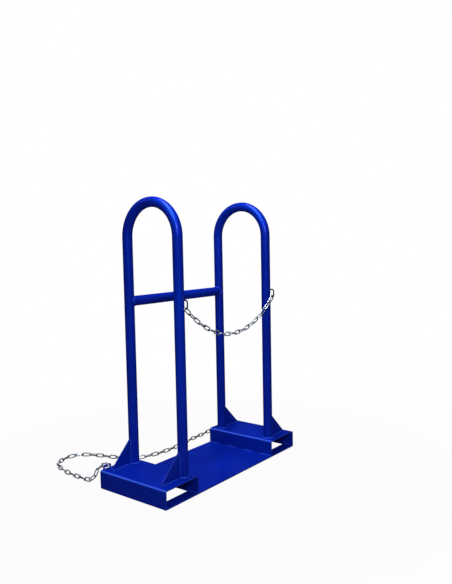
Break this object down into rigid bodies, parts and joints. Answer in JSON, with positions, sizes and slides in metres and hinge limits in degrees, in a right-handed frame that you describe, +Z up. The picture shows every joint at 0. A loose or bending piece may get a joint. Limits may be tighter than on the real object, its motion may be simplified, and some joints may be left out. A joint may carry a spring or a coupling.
{
  "type": "gas cylinder bracket",
  "caption": "Welded steel bracket that slides on lift-truck forks and carries gas cylinders upright between tube hoops, with fork pockets, a retaining chain and a rear safety chain.",
  "frame": {"origin": "Centre of the base's underside, on the ground when it stands.", "axes": "+Z up. +X runs along the base from the left fork pocket to the right one. -Y is the open front with the retaining chain, and +Y faces the lift truck."},
  "size_m": [0.9, 0.7803, 1.1898],
  "materials": {
    "blue_paint": "glossy ultramarine powder coat",
    "zinc_chain": "bright zinc plating",
    "zinc_hook": "bright zinc plating"
  },
  "bodies": {
    "frame": {"floor_plate": "blue_paint", "rear_cross_bar": "blue_paint", "left_fork_pocket": "blue_paint", "left_front_strap": "blue_paint", "left_rear_strap": "blue_paint", "left_hoop": "blue_paint", "left_front_gusset": "blue_paint", "left_rear_gusset": "blue_paint", "left_chain_staple": "blue_paint", "left_rear_eye": "blue_paint", "right_fork_pocket": "blue_paint", "right_front_strap": "blue_paint", "right_rear_strap": "blue_paint", "right_hoop": "blue_paint", "right_front_gusset": "blue_paint", "right_rear_gusset": "blue_paint", "right_chain_staple": "blue_paint", "right_rear_eye": "blue_paint"},
    "retaining_chain": {"retaining_chain_links": "zinc_chain", "retaining_hook_body": "zinc_hook", "retaining_hook_rivet": "zinc_hook"},
    "retaining_gate": {"retaining_hook_gate": "zinc_hook"},
    "rear_chain": {"rear_chain_links": "zinc_chain", "rear_hook_body": "zinc_hook", "rear_hook_rivet": "zinc_hook"},
    "rear_gate": {"rear_hook_gate": "zinc_hook"}
  },
  "joints": [
    {"name": "retaining_chain_swing", "type": "hinge", "parent": "frame", "child": "retaining_chain", "pos_m": [0, -0.1742, 0.7555], "axis": [1, 0, 0], "range_deg": [-85, 10]},
    {"name": "retaining_gate_open", "type": "hinge", "parent": "retaining_chain", "child": "retaining_gate", "pos_m": [0.27005, -0.1742, 0.72981], "axis": [0, 1, 0], "range_deg": [0, 20], "stiffness_Nm_per_rad": 0.05, "springref_deg": -20.05},
    {"name": "rear_chain_lift", "type": "hinge", "parent": "frame", "child": "rear_chain", "pos_m": [0, 0.176, 0.093], "axis": [1, 0, 0], "range_deg": [0, 90]},
    {"name": "rear_gate_open", "type": "hinge", "parent": "rear_chain", "child": "rear_gate", "pos_m": [0.42227, 0.20918, 0.09119], "axis": [0.9977, -0.0683, 0], "range_deg": [0, 20], "stiffness_Nm_per_rad": 0.05, "springref_deg": -20.05}
  ]
}
